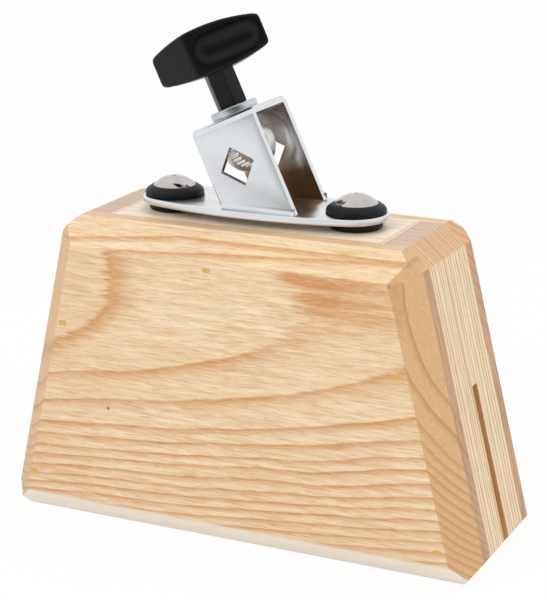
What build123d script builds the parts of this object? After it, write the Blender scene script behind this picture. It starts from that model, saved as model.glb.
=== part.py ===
from build123d import *

import os
from math import atan2, cos, hypot, radians, sin, tan

os.makedirs("parts", exist_ok=True)

# Ash woodblock on a percussion clamp, in millimetres.
# X runs along the block, Y goes through it from front to back, Z is up.
# The origin is the centre of the rectangle that the block stands on.

# Block outline, seen from the front
block_bottom = 200.0
block_top = 143.0
block_height = 120.0
top_cut_run = 6.5
top_cut_drop = 7.0
bottom_cut_run = 8.0
bottom_cut_rise = 8.0

# Front and back panels
panel_thickness = 16.0
bevel_inset = 9.5
bevel_depth = 10.0
bottom_bevel_inset = 8.5
bottom_bevel_depth = 7.0

# Boards between the two panels
chamber_depth = 36.0
top_board_thickness = 16.0
bottom_rail_height = 14.0
end_board_run = 15.3
joint_strip_run = 2.0

# Saw kerf that splits the bottom and climbs both ends
slot_width = 4.4
slot_height = 66.0

# Brads through each panel, under spots of filler
brad_length = 30.0
brad_width = 1.6
brad_gauge = 1.2
brad_head_width = 3.0
brad_head_depth = 0.9
brad_clearance = 0.05
filler_width = 3.4
filler_height = 1.9
filler_depth = 1.6
top_brad_shift = -6.6
top_brad_drop = 12.8
upper_left_brad_inset = 12.3
upper_left_brad_height = 79.7
lower_left_brad_inset = 10.8
lower_left_brad_height = 17.1
upper_right_brad_inset = 14.4
upper_right_brad_height = 77.2
lower_right_brad_inset = 12.9
lower_right_brad_height = 13.7

# Rubber mounts at the two ends of the clamp plate
bolt_spacing = 75.2
lower_flange_height = 3.2
upper_flange_height = 3.4
lower_flange_radius = 9.8
upper_flange_radius = 11.2
flange_bevel = 1.2
groove_radius = 7.5
rubber_clearance = 0.05
spacer_radius = 4.2

# Dome-headed bolts, their washers and nuts in the chamber
bolt_radius = 3.0
bolt_length = 36.0
bolt_clearance = 0.2
thread_clearance = 0.05
dome_radius = 8.1
dome_rise = 3.6
dome_bands = 5
inner_washer_radius = 9.0
inner_washer_thickness = 1.6
nut_flats = 10.0
nut_height = 5.0

# Folded clamp bracket
sheet = 2.5
plate_half_length = 49.5
plate_half_width = 18.0
plate_end_radius = 13.5
tower_shift = 3.9
tower_lean = 24.6
tower_width = 26.9
tower_overhang = 0.7
tower_depth = 28.0
tower_height = 35.7
bend_radius = 3.2
foot_radius = 2.4
diamond_side = 10.7
diamond_height = 17.8
plate_edge = 0.5

# Eye bolt that draws the rod up into the diamonds
shank_radius = 3.0
shank_reach = 34.0
shank_clearance = 0.25
eye_radius = 9.7
eye_bore = 7.2
eye_depth = 6.5
eye_edge = 0.5
eye_top_gap = 0.3
tooth_count = 26
tooth_depth = 0.7
tooth_width = 1.3

# Washer under the wing nut
clamp_washer_radius = 9.0
clamp_washer_thickness = 3.0

# Wing nut: a T-shaped plastic grip moulded round a steel bush
grip_gap = 0.15
grip_turn = 24.0
grip_height = 22.0
grip_half_length = 23.3
grip_tip_offset = 5.6
grip_knee = 7.3
grip_knee_offset = 7.5
grip_crown = 9.4
grip_tip_crown = 5.2
grip_belly = 8.6
grip_tip_belly = 5.0
grip_corner = 1.6
grip_edge = 0.9
boss_flats = 10.4
boss_turn = -12.2
boss_edge = 0.6
scoop_near_margin = 2.2
scoop_far_margin = 3.4
scoop_width = 10.0
scoop_depth = 2.4
scoop_bevel = 2.2
bush_radius = 4.1
bush_length = 16.0
bush_clearance = 0.06
shank_well = 1.5

# One overrun serves every cut that has to pass a surface
overrun = 5.0

# Sizes that follow from the ones above
half_chamber = chamber_depth / 2
block_depth = chamber_depth + 2 * panel_thickness
side_slope = (block_bottom - block_top) / 2 / block_height
side_angle = atan2(block_bottom / 2 - block_top / 2, block_height)
chamber_ceiling = block_height - top_board_thickness
plate_bottom = block_height + lower_flange_height
plate_top = plate_bottom + sheet
grommet_height = lower_flange_height + sheet + upper_flange_height
head_seat = block_height + grommet_height
bolt_places = (-bolt_spacing / 2, bolt_spacing / 2)


def side_x(height):
    # distance of the slanted side from the middle of the block at a height
    return block_bottom / 2 - side_slope * height


def saw_plane(point, along, across, outwards):
    # the plane through a point that holds two directions, with its normal facing outwards
    normal = Vector(*along).cross(Vector(*across)).normalized()
    if normal.dot(Vector(*outwards)) < 0:
        normal = -normal
    return Plane(origin=point, x_dir=along, z_dir=normal)


def corner_planes():
    # the four saw cuts across the corners of the outline
    planes = []
    for hand in (-1, 1):
        top_point = (hand * (block_top / 2 - top_cut_run), 0, block_height)
        top_reach = side_x(block_height - top_cut_drop) - block_top / 2 + top_cut_run
        top_along = (-hand * top_reach, 0, top_cut_drop)
        bottom_point = (hand * (block_bottom / 2 - bottom_cut_run), 0, 0)
        bottom_reach = side_x(bottom_cut_rise) - block_bottom / 2 + bottom_cut_run
        bottom_along = (hand * bottom_reach, 0, bottom_cut_rise)
        planes.append(saw_plane(top_point, top_along, (0, 1, 0), (hand, 0, 1)))
        planes.append(saw_plane(bottom_point, bottom_along, (0, 1, 0), (hand, 0, -1)))
    return planes


def bevel_planes():
    # the four saw cuts along the rim of the front panel
    face_y = -block_depth / 2
    side_out = (cos(side_angle), sin(side_angle))
    planes = []
    for hand in (-1, 1):
        along = (hand * (block_top - block_bottom) / 2, 0, block_height)
        across = (-hand * side_out[0] * bevel_inset, -bevel_depth, -side_out[1] * bevel_inset)
        ridge = (hand * block_bottom / 2, face_y + bevel_depth, 0)
        planes.append(saw_plane(ridge, along, across, (hand, -1, 0)))
    top_ridge = (0, face_y + bevel_depth, block_height)
    planes.append(saw_plane(top_ridge, (1, 0, 0), (0, -bevel_depth, -bevel_inset), (0, -1, 1)))
    bottom_ridge = (0, face_y + bottom_bevel_depth, 0)
    bottom_across = (0, -bottom_bevel_depth, bottom_bevel_inset)
    planes.append(saw_plane(bottom_ridge, (1, 0, 0), bottom_across, (0, -1, -1)))
    return planes


def trim(planes):
    # keep what lies behind each saw plane
    for cut in planes:
        split(bisect_by=cut, keep=Keep.BOTTOM)


def brad_places():
    # X and Z of the brads, the same in both panels
    places = [(top_brad_shift, block_height - top_brad_drop)]
    for hand, inset, height in (
        (-1, upper_left_brad_inset, upper_left_brad_height),
        (-1, lower_left_brad_inset, lower_left_brad_height),
        (1, upper_right_brad_inset, upper_right_brad_height),
        (1, lower_right_brad_inset, lower_right_brad_height),
    ):
        places.append((hand * (side_x(height) - inset), height))
    return places


# A filler spot is a flat hexagon, pointed left and right
filler_flat = filler_width / 2 - filler_height / 4
filler_outline = (
    (filler_width / 2, 0),
    (filler_flat, filler_height / 2),
    (-filler_flat, filler_height / 2),
    (-filler_width / 2, 0),
    (-filler_flat, -filler_height / 2),
    (filler_flat, -filler_height / 2),
)


def board_points(inset, low, high):
    # trapezoid between two heights, its slanted ends a run inside the outline
    return (
        (side_x(low) - inset, low),
        (side_x(high) - inset, high),
        (-side_x(high) + inset, high),
        (-side_x(low) + inset, low),
    )


# Room for the brads and the filler over them, cut into every piece that they pass
with BuildPart() as brad_room:
    for hand in (1, -1):
        face = Plane.XZ.offset(hand * block_depth / 2)
        with BuildSketch(face):
            with Locations(*brad_places()):
                Polygon(*filler_outline, align=None)
        extrude(amount=-hand * filler_depth)
        with BuildSketch(face):
            with Locations(*brad_places()):
                Rectangle(brad_head_width + 2 * brad_clearance, brad_gauge + 2 * brad_clearance)
        extrude(amount=-hand * (filler_depth + brad_head_depth))
        with BuildSketch(face):
            with Locations(*brad_places()):
                Rectangle(brad_width + 2 * brad_clearance, brad_gauge + 2 * brad_clearance)
        extrude(amount=-hand * (filler_depth + brad_length + brad_clearance))

# Front and back panels: bevelled all round on the outside
with BuildPart() as front_panel:
    with BuildSketch(Plane.XZ.offset(half_chamber)):
        Polygon(*board_points(0, 0, block_height), align=None)
    extrude(amount=panel_thickness)
    trim(bevel_planes())
    trim(corner_planes())
    add(brad_room.part, mode=Mode.SUBTRACT)
front_panel.part.label = "front_panel"
export_step(front_panel.part, "parts/front_panel.step")

with BuildPart() as back_panel:
    mirror(front_panel.part, about=Plane.XZ)
back_panel.part.label = "back_panel"
export_step(back_panel.part, "parts/back_panel.step")

# Top board, drilled for the two bolts
with BuildPart() as top_board:
    with BuildSketch(Plane.XZ):
        Polygon(*board_points(end_board_run + joint_strip_run, chamber_ceiling, block_height), align=None)
    extrude(amount=half_chamber, both=True)
    add(brad_room.part, mode=Mode.SUBTRACT)
    with Locations(*[(x, 0, block_height) for x in bolt_places]):
        Hole(bolt_radius + bolt_clearance)
top_board.part.label = "top_board"
export_step(top_board.part, "parts/top_board.step")

# Thin strips glued between the top board and the end boards
for name, hand in (("left_joint_strip", -1), ("right_joint_strip", 1)):
    with BuildPart() as joint_strip:
        with BuildSketch(Plane.XZ):
            with BuildLine():
                inner = end_board_run + joint_strip_run
                Polyline(
                    (hand * (side_x(chamber_ceiling) - inner), chamber_ceiling),
                    (hand * (side_x(block_height) - inner), block_height),
                    (hand * (side_x(block_height) - end_board_run), block_height),
                    (hand * (side_x(chamber_ceiling) - end_board_run), chamber_ceiling),
                    close=True,
                )
            make_face()
        extrude(amount=half_chamber, both=True)
    joint_strip.part.label = name
    export_step(joint_strip.part, f"parts/{name}.step")

# Slanted end boards, each with the saw kerf climbing its middle
for name, hand in (("left_end_board", -1), ("right_end_board", 1)):
    with BuildPart() as end_board:
        with BuildSketch(Plane.XZ):
            with BuildLine():
                Polyline(
                    (hand * side_x(0), 0),
                    (hand * side_x(block_height), block_height),
                    (hand * (side_x(block_height) - end_board_run), block_height),
                    (hand * (side_x(0) - end_board_run), 0),
                    close=True,
                )
            make_face()
        extrude(amount=half_chamber, both=True)
        trim(corner_planes())
        with Locations((0, 0, slot_height / 2)):
            Box(block_bottom + 2 * overrun, slot_width, slot_height, mode=Mode.SUBTRACT)
        add(brad_room.part, mode=Mode.SUBTRACT)
    end_board.part.label = name
    export_step(end_board.part, f"parts/{name}.step")

# Bottom rails, one on each side of the kerf
for name, hand in (("bottom_rail_front", -1), ("bottom_rail_back", 1)):
    with BuildPart() as bottom_rail:
        with BuildSketch(Plane.XZ.offset(-hand * slot_width / 2)):
            Polygon(*board_points(end_board_run, 0, bottom_rail_height), align=None)
        extrude(amount=-hand * (half_chamber - slot_width / 2))
    bottom_rail.part.label = name
    export_step(bottom_rail.part, f"parts/{name}.step")

# Brads: T-headed, driven from both faces
with BuildPart() as panel_brads:
    for hand in (1, -1):
        head = Plane.XZ.offset(hand * (block_depth / 2 - filler_depth))
        with BuildSketch(head):
            with Locations(*brad_places()):
                Rectangle(brad_head_width, brad_gauge)
        extrude(amount=-hand * brad_head_depth)
        with BuildSketch(head):
            with Locations(*brad_places()):
                Rectangle(brad_width, brad_gauge)
        extrude(amount=-hand * brad_length)
panel_brads.part.label = "panel_brads"
export_step(panel_brads.part, "parts/panel_brads.step")

# Filler over the brad heads, sanded flush with the panels
with BuildPart() as brad_fillers:
    for hand in (1, -1):
        with BuildSketch(Plane.XZ.offset(hand * block_depth / 2)):
            with Locations(*brad_places()):
                Polygon(*filler_outline, align=None)
        extrude(amount=-hand * filler_depth)
brad_fillers.part.label = "brad_fillers"
export_step(brad_fillers.part, "parts/brad_fillers.step")

# Clamp bracket: an oval plate and a leaning tower folded from the same sheet.
# The tower's own frame has X across it, Y from front to back and Z up its axis.
lean = radians(tower_lean)
tower_base = Vector(tower_shift, 0, plate_top)
tower_axis = Vector(-sin(lean), 0, cos(lean))
tower_across = Vector(cos(lean), 0, sin(lean))


def tower_point(height, across=0, depth=0):
    # a point given in the tower's own frame
    return tower_base + tower_axis * height + tower_across * across + Vector(0, depth, 0)


def tower_plane(height=0):
    # looking down the axis
    return Plane(origin=tower_point(height), x_dir=tower_across, z_dir=tower_axis)


def tower_side(across=0):
    # looking across the tower, with depth to the right and the axis up
    return Plane(origin=tower_point(0, across), x_dir=(0, 1, 0), z_dir=tower_across)


def tower_front(height):
    # looking at the front wall, with the axis up
    return Plane(origin=tower_point(height), x_dir=tower_across, z_dir=(0, -1, 0))


end_centre = plate_half_length - plate_end_radius
side_bulge = plate_half_width - plate_end_radius
side_centre = (end_centre**2 - side_bulge**2) / (2 * side_bulge)
side_reach = hypot(end_centre, side_centre)
touch_x = end_centre + plate_end_radius * end_centre / side_reach
touch_y = plate_end_radius * side_centre / side_reach
half_tower_depth = tower_depth / 2
leg_foot = (tower_width / 2 + tower_overhang + overrun) * tan(lean) + overrun
foot_half_length = tower_width / 2 / cos(lean)
foot_start = tower_shift + tower_overhang / cos(lean) - foot_half_length

with BuildPart() as tower:
    # The walls reach a little further to the right of the bolt than to its left
    with BuildSketch(tower_side(tower_overhang - tower_width / 2)):
        with BuildLine():
            FilletPolyline(
                (-half_tower_depth + sheet / 2, -leg_foot),
                (-half_tower_depth + sheet / 2, tower_height - sheet / 2),
                (half_tower_depth - sheet / 2, tower_height - sheet / 2),
                (half_tower_depth - sheet / 2, -leg_foot),
                radius=bend_radius - sheet / 2,
            )
            offset(amount=sheet / 2, side=Side.BOTH)
        make_face()
    extrude(amount=tower_width)
    split(bisect_by=Plane.XY.offset(plate_top - sheet / 2), keep=Keep.TOP)
    with BuildSketch(tower_front(diamond_height)):
        Rectangle(diamond_side, diamond_side, rotation=45)
    extrude(amount=tower_depth, both=True, mode=Mode.SUBTRACT)
    with BuildSketch(tower_plane(tower_height)):
        Circle(shank_radius + shank_clearance)
    extrude(amount=-2 * sheet, mode=Mode.SUBTRACT)

with BuildPart() as clamp_bracket:
    with BuildSketch(Plane.XY.offset(plate_bottom)):
        with BuildLine():
            ThreePointArc((-touch_x, touch_y), (0, plate_half_width), (touch_x, touch_y))
            ThreePointArc((touch_x, touch_y), (plate_half_length, 0), (touch_x, -touch_y))
            ThreePointArc((touch_x, -touch_y), (0, -plate_half_width), (-touch_x, -touch_y))
            ThreePointArc((-touch_x, -touch_y), (-plate_half_length, 0), (-touch_x, touch_y))
        make_face()
    extrude(amount=sheet)
    chamfer(clamp_bracket.edges().filter_by(Axis.Z, reverse=True), length=plate_edge)
    with BuildSketch(Plane.XY.offset(plate_bottom)):
        with Locations(*[(x, 0) for x in bolt_places]):
            Circle(groove_radius + rubber_clearance)
    extrude(amount=sheet, mode=Mode.SUBTRACT)
    add(tower.part)
    # The roll at the foot of each wall, where it is folded up from the plate
    for hand in (-1, 1):
        with BuildSketch(Plane.YZ.offset(foot_start)):
            with Locations((hand * (half_tower_depth + foot_radius / 2), plate_top + foot_radius / 2)):
                Rectangle(foot_radius, foot_radius)
            with Locations((hand * (half_tower_depth + foot_radius), plate_top + foot_radius)):
                Circle(foot_radius, mode=Mode.SUBTRACT)
        extrude(amount=2 * foot_half_length)
clamp_bracket.part.label = "clamp_bracket"
export_step(clamp_bracket.part, "parts/clamp_bracket.step")

# Half the section of a domed head: points on its ball, from the rim to the crown
ball_radius = (dome_radius**2 + dome_rise**2) / (2 * dome_rise)
rim_angle = atan2(dome_radius, ball_radius - dome_rise)
dome_profile = [(0, 0)]
for band in range(dome_bands, -1, -1):
    angle = rim_angle * band / dome_bands
    dome_profile.append((ball_radius * sin(angle), ball_radius * cos(angle) - ball_radius + dome_rise))

# Rubber mounts: one moulding with a groove for the plate, round a steel spacer
for name, x in zip(("left", "right"), bolt_places):
    with BuildPart() as grommet:
        with BuildSketch(Plane(origin=(x, 0, block_height), x_dir=(1, 0, 0), z_dir=(0, -1, 0))):
            with BuildLine():
                Polyline(
                    (spacer_radius + rubber_clearance, 0),
                    (lower_flange_radius, 0),
                    (lower_flange_radius, lower_flange_height),
                    (groove_radius, lower_flange_height),
                    (groove_radius, lower_flange_height + sheet),
                    (upper_flange_radius - flange_bevel, lower_flange_height + sheet),
                    (upper_flange_radius, lower_flange_height + sheet + flange_bevel),
                    (upper_flange_radius, grommet_height - flange_bevel),
                    (upper_flange_radius - flange_bevel, grommet_height),
                    (spacer_radius + rubber_clearance, grommet_height),
                    close=True,
                )
            make_face()
        revolve(axis=Axis((x, 0, 0), (0, 0, 1)))
    grommet.part.label = f"{name}_grommet"
    export_step(grommet.part, f"parts/{name}_grommet.step")

    with BuildPart() as spacer:
        with BuildSketch(Plane.XY.offset(block_height)):
            with Locations((x, 0)):
                Circle(spacer_radius)
                Circle(bolt_radius + bolt_clearance, mode=Mode.SUBTRACT)
        extrude(amount=grommet_height)
    spacer.part.label = f"{name}_spacer"
    export_step(spacer.part, f"parts/{name}_spacer.step")

    # Smooth domed head over a plain shank
    with BuildPart() as dome_bolt:
        with BuildSketch(Plane(origin=(x, 0, head_seat), x_dir=(1, 0, 0), z_dir=(0, -1, 0))):
            with BuildLine():
                Polyline(*dome_profile, close=True)
            make_face()
        revolve(axis=Axis((x, 0, 0), (0, 0, 1)))
        with BuildSketch(Plane.XY.offset(head_seat)):
            with Locations((x, 0)):
                Circle(bolt_radius)
        extrude(amount=-bolt_length)
    dome_bolt.part.label = f"{name}_dome_bolt"
    export_step(dome_bolt.part, f"parts/{name}_dome_bolt.step")

    with BuildPart() as inner_washer:
        with BuildSketch(Plane.XY.offset(chamber_ceiling)):
            with Locations((x, 0)):
                Circle(inner_washer_radius)
                Circle(bolt_radius + bolt_clearance, mode=Mode.SUBTRACT)
        extrude(amount=-inner_washer_thickness)
    inner_washer.part.label = f"{name}_inner_washer"
    export_step(inner_washer.part, f"parts/{name}_inner_washer.step")

    with BuildPart() as inner_nut:
        with BuildSketch(Plane.XY.offset(chamber_ceiling - inner_washer_thickness)):
            with Locations((x, 0)):
                RegularPolygon(nut_flats / 2, 6, major_radius=False)
                Circle(bolt_radius + thread_clearance, mode=Mode.SUBTRACT)
        extrude(amount=-nut_height)
    inner_nut.part.label = f"{name}_inner_nut"
    export_step(inner_nut.part, f"parts/{name}_inner_nut.step")

# Eye bolt, drawn up until its eye nearly meets the top of the tower
eye_height = tower_height - sheet - eye_top_gap - eye_radius
shank_top = eye_height + shank_reach

with BuildPart() as eye_bolt:
    with BuildSketch(tower_front(eye_height)):
        Circle(eye_radius)
    extrude(amount=eye_depth / 2, both=True)
    chamfer(eye_bolt.edges().filter_by(GeomType.CIRCLE), length=eye_edge)
    with BuildSketch(tower_plane(eye_height)):
        Circle(shank_radius)
    extrude(amount=shank_reach)
    with BuildSketch(tower_front(eye_height)):
        Circle(eye_bore)
    extrude(amount=eye_depth, both=True, mode=Mode.SUBTRACT)
    with BuildSketch(tower_front(eye_height)):
        with PolarLocations(eye_bore, tooth_count):
            Polygon((-tooth_depth, tooth_width), (tooth_depth, 0), (-tooth_depth, -tooth_width), align=None)
    extrude(amount=eye_depth, both=True, mode=Mode.SUBTRACT)
eye_bolt.part.label = "eye_bolt"
export_step(eye_bolt.part, "parts/eye_bolt.step")

with BuildPart() as clamp_washer:
    with BuildSketch(tower_plane(tower_height)):
        Circle(clamp_washer_radius)
        Circle(shank_radius + shank_clearance, mode=Mode.SUBTRACT)
    extrude(amount=clamp_washer_thickness)
clamp_washer.part.label = "clamp_washer"
export_step(clamp_washer.part, "parts/clamp_washer.step")

# Wing nut. The grip's frame has X along the T, Y through it and Z up the tower's axis.
grip_angle = radians(grip_turn)
grip_foot = tower_height + clamp_washer_thickness + grip_gap
grip_middle = grip_foot + grip_height
grip_along = tower_across * cos(grip_angle) + Vector(0, sin(grip_angle), 0)
grip_through = tower_across * -sin(grip_angle) + Vector(0, cos(grip_angle), 0)


def grip_plane(height):
    # looking down the axis, with the T to the right
    return Plane(origin=tower_point(height), x_dir=grip_along, z_dir=tower_axis)


grip_side = Plane(origin=tower_point(grip_middle), x_dir=grip_along, z_dir=-grip_through)
grip_axis = Axis(tower_point(grip_middle), tower_axis)

# A thumb's room in each long face: a trough with rounded ends
face_run = grip_half_length + grip_knee
face_rise = grip_knee_offset - grip_tip_offset
face_length = hypot(face_run, face_rise)
face_along = (grip_along * face_run + grip_through * face_rise) / face_length
face_out = (grip_along * face_rise - grip_through * face_run) / face_length
knee_arris = -grip_along * grip_knee - grip_through * grip_knee_offset
scoop_radius = (scoop_width**2 / 4 + scoop_depth**2) / (2 * scoop_depth)
scoop_start = knee_arris + face_along * scoop_near_margin + face_out * (scoop_radius - scoop_depth)

with BuildPart() as thumb_room:
    for turn in (1, -1):
        trough_end = tower_point(grip_middle) + scoop_start * turn
        with BuildSketch(Plane(origin=trough_end, x_dir=tower_axis, z_dir=face_along * turn)):
            Circle(scoop_radius)
        extrude(amount=face_length - scoop_near_margin - scoop_far_margin)
    chamfer(thumb_room.edges().filter_by(GeomType.CIRCLE), length=scoop_bevel)

with BuildPart() as wing_nut_grip:
    with BuildSketch(grip_plane(grip_middle)):
        with BuildLine():
            Polyline(
                (grip_half_length, -grip_tip_offset),
                (grip_knee, grip_knee_offset),
                (-grip_half_length, grip_tip_offset),
                (-grip_knee, -grip_knee_offset),
                close=True,
            )
        make_face()
    extrude(amount=grip_height, both=True)
    fillet(wing_nut_grip.edges().filter_by(grip_axis), radius=grip_corner)
    with BuildSketch(grip_side):
        with BuildLine():
            left, right = -grip_half_length, grip_half_length
            ThreePointArc((left, grip_tip_crown), (0, grip_crown), (right, grip_tip_crown))
            Line((right, grip_tip_crown), (right, -grip_tip_belly))
            ThreePointArc((right, -grip_tip_belly), (0, -grip_belly), (left, -grip_tip_belly))
            Line((left, -grip_tip_belly), (left, grip_tip_crown))
        make_face()
    extrude(amount=grip_half_length, both=True, mode=Mode.INTERSECT)
    chamfer(wing_nut_grip.edges().filter_by(grip_axis, reverse=True), length=grip_edge)
    # The boss under the T, its mouth a little bevelled
    with BuildSketch(grip_plane(grip_foot)):
        RegularPolygon(boss_flats / 2, 6, major_radius=False, rotation=boss_turn)
    extrude(amount=grip_height)
    add(thumb_room.part, mode=Mode.SUBTRACT)
    mouth = wing_nut_grip.faces().sort_by(Axis(tower_base, tower_axis))[0]
    chamfer(mouth.edges(), length=boss_edge)
    with BuildSketch(grip_plane(grip_foot)):
        Circle(bush_radius)
    extrude(amount=bush_length, mode=Mode.SUBTRACT)
    with BuildSketch(grip_plane(grip_foot)):
        Circle(shank_radius + shank_clearance)
    extrude(amount=shank_top + shank_well - grip_foot, mode=Mode.SUBTRACT)
wing_nut_grip.part.label = "wing_nut_grip"
export_step(wing_nut_grip.part, "parts/wing_nut_grip.step")

with BuildPart() as wing_nut_bush:
    with BuildSketch(tower_plane(grip_foot)):
        Circle(bush_radius)
        Circle(shank_radius + bush_clearance, mode=Mode.SUBTRACT)
    extrude(amount=bush_length)
wing_nut_bush.part.label = "wing_nut_bush"
export_step(wing_nut_bush.part, "parts/wing_nut_bush.step")
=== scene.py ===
# %% [markdown]
# # A woodblock on its rod clamp
# The block is a hollow box of ash with bevelled rims. A folded, chromed clamp stands on it on two rubber
# mounts, and a black T-shaped wing nut tightens it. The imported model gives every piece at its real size.
# This lesson leaves those shapes where they are, gives each a finish made of shader nodes, and models
# again the few pieces whose soft, rounded forms a plain solid only hints at.

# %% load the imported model
import bpy
import bmesh
from math import atan2, cos, hypot, radians, sin, sqrt
from mathutils import Matrix, Vector


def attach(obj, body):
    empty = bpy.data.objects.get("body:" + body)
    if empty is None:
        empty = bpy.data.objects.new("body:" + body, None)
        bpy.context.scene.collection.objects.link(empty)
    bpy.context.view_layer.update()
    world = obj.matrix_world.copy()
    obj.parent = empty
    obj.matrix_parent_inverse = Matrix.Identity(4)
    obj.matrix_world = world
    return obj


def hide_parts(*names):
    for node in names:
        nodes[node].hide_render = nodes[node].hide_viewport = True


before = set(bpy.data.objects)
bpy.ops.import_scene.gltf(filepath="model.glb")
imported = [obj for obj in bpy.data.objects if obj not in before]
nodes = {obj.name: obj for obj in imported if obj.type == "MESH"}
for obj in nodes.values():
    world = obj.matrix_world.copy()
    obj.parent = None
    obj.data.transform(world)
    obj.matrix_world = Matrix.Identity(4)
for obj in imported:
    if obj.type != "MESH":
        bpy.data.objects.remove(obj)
bpy.ops.object.select_all(action="DESELECT")
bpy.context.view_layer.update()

# %% [markdown]
# ## Camera
# The camera stands in front of the block, 26 degrees round towards its right end and 17 degrees up, under
# a metre away, and is turned half a degree about its own axis. Three angles, a distance and the point
# that it looks at say all of that, so its matrix is worked out from them rather than typed in.

# %% camera
azimuth, elevation, roll = radians(26.151), radians(16.672), radians(0.596)
distance = 0.72552
aim = Vector((-0.00765, 0.02308, 0.08045))

towards = Vector((sin(azimuth) * cos(elevation), -cos(azimuth) * cos(elevation), sin(elevation)))
level = Vector((cos(azimuth), sin(azimuth), 0))
upright = towards.cross(level)
right = level * cos(roll) - upright * sin(roll)
up = upright * cos(roll) + level * sin(roll)

camera_data = bpy.data.cameras.new("camera")
camera_data.sensor_fit = "VERTICAL"
camera_data.sensor_height = 36.0
camera_data.lens = 111.23
camera_data.clip_start = 0.05
camera_data.clip_end = 30.0
camera = bpy.data.objects.new("camera", camera_data)
bpy.context.scene.collection.objects.link(camera)
turned = Matrix((right, up, towards)).transposed().to_4x4()
camera.matrix_world = Matrix.Translation(aim + towards * distance) @ turned
bpy.context.scene.camera = camera
print("camera at", tuple(round(v, 3) for v in camera.matrix_world.translation))

# %% [markdown]
# ## Helpers for shader nodes
# The surroundings and each finish below are small trees of nodes. These helpers add one node each and
# join it up, so that a finish reads as the steps that lead from a place on the piece to a colour.

# %% joining nodes
X, Y, Z = (1, 0, 0), (0, 1, 0), (0, 0, 1)
FORWARD = (0, -1, 0)


def join(tree, value, socket):
    if isinstance(value, bpy.types.NodeSocket):
        tree.links.new(value, socket)
    else:
        socket.default_value = value


def calc(tree, operation, *values):
    made = tree.nodes.new("ShaderNodeMath")
    made.operation = operation
    for k, value in enumerate(values):
        join(tree, value, made.inputs[k])
    return made.outputs[0]


def chain(operation):
    # makes a helper that works through two or more values from left to right, by one operation
    def joined(tree, first, *others):
        for value in others:
            first = calc(tree, operation, first, value)
        return first
    return joined


plus, minus, times = chain("ADD"), chain("SUBTRACT"), chain("MULTIPLY")
larger, smaller = chain("MAXIMUM"), chain("MINIMUM")
above, below = chain("GREATER_THAN"), chain("LESS_THAN")


def size_of(tree, value):
    # without its sign
    return calc(tree, "ABSOLUTE", value)


def dot(tree, vector, direction):
    made = tree.nodes.new("ShaderNodeVectorMath")
    made.operation = "DOT_PRODUCT"
    join(tree, vector, made.inputs[0])
    made.inputs[1].default_value = direction
    return made.outputs["Value"]


def vector_of(tree, x, y, z):
    made = tree.nodes.new("ShaderNodeCombineXYZ")
    for k, value in enumerate((x, y, z)):
        join(tree, value, made.inputs[k])
    return made.outputs[0]


print("directions right, back and up:", X, Y, Z)

# %% noise, ranges and mixtures
def noise(tree, vector, scale, detail=2.0, rough=0.5):
    made = tree.nodes.new("ShaderNodeTexNoise")
    join(tree, vector, made.inputs["Vector"])
    made.inputs["Scale"].default_value = scale
    made.inputs["Detail"].default_value = detail
    made.inputs["Roughness"].default_value = rough
    return made.outputs["Fac"]


def spread(tree, value, low, high, to_low=0.0, to_high=1.0):
    made = tree.nodes.new("ShaderNodeMapRange")
    join(tree, value, made.inputs["Value"])
    for name, number in zip(("From Min", "From Max", "To Min", "To Max"), (low, high, to_low, to_high)):
        join(tree, number, made.inputs[name])
    return made.outputs["Result"]


def mixed(tree, share, first, second):
    made = tree.nodes.new("ShaderNodeMix")
    for k, value in ((0, share), (2, first), (3, second)):
        join(tree, value, made.inputs[k])
    return made.outputs[0]


def blend(tree, share, first, second):
    made = tree.nodes.new("ShaderNodeMix")
    made.data_type = "RGBA"
    for k, value in ((0, share), (6, first), (7, second)):
        join(tree, value, made.inputs[k])
    return made.outputs[2]


def bump(tree, shader, height, strength, depth):
    made = tree.nodes.new("ShaderNodeBump")
    made.inputs["Strength"].default_value = strength
    made.inputs["Distance"].default_value = depth
    join(tree, height, made.inputs["Height"])
    tree.links.new(made.outputs["Normal"], shader.inputs["Normal"])


# %% places and colours
def new_material(name):
    material = bpy.data.materials.new(name)
    material.use_nodes = True
    return material, material.node_tree, material.node_tree.nodes["Principled BSDF"]


def millimetres(tree):
    place = tree.nodes.new("ShaderNodeTexCoord")
    made = tree.nodes.new("ShaderNodeVectorMath")
    made.operation = "SCALE"
    tree.links.new(place.outputs["Object"], made.inputs[0])
    made.inputs["Scale"].default_value = 1000.0
    return made.outputs[0], place.outputs["Normal"]


def linear(value):
    # from the usual 0 to 255 to the linear light that a shader takes
    share = value / 255
    return share / 12.92 if value < 10.3 else ((share + 0.055) / 1.055) ** 2.4


def colour(red, green, blue):
    return (linear(red), linear(green), linear(blue), 1.0)


def shade(tint, factor):
    return tuple(int(v * factor) for v in tint)


print("a mid grey is", tuple(round(v, 3) for v in colour(128, 128, 128)))

# %% [markdown]
# ## Light
# A product photograph is lit by large soft sources. One broad lamp stands high on the left in front, a
# weaker one on the right fills the shaded end, and a third stands over the block. None of them shows in
# the metal.

# %% lamps
def lamp(name, place, width, height, watts):
    data = bpy.data.lights.new(name, "AREA")
    data.shape = "RECTANGLE"
    data.size, data.size_y = width, height
    data.energy = watts
    made = bpy.data.objects.new(name, data)
    bpy.context.scene.collection.objects.link(made)
    made.location = place
    made.rotation_euler = (lit_point - Vector(place)).to_track_quat("-Z", "Y").to_euler()
    made.visible_glossy = False


lit_point = Vector((0, 0, 0.08))
lamp("key_lamp", (-0.55, -1.25, 1.15), 0.9, 0.9, 12.0)
lamp("fill_lamp", (1.35, -0.35, 0.75), 0.7, 0.9, 5.0)
lamp("top_lamp", (0.1, 0.45, 1.5), 1.0, 0.8, 6.0)

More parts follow.
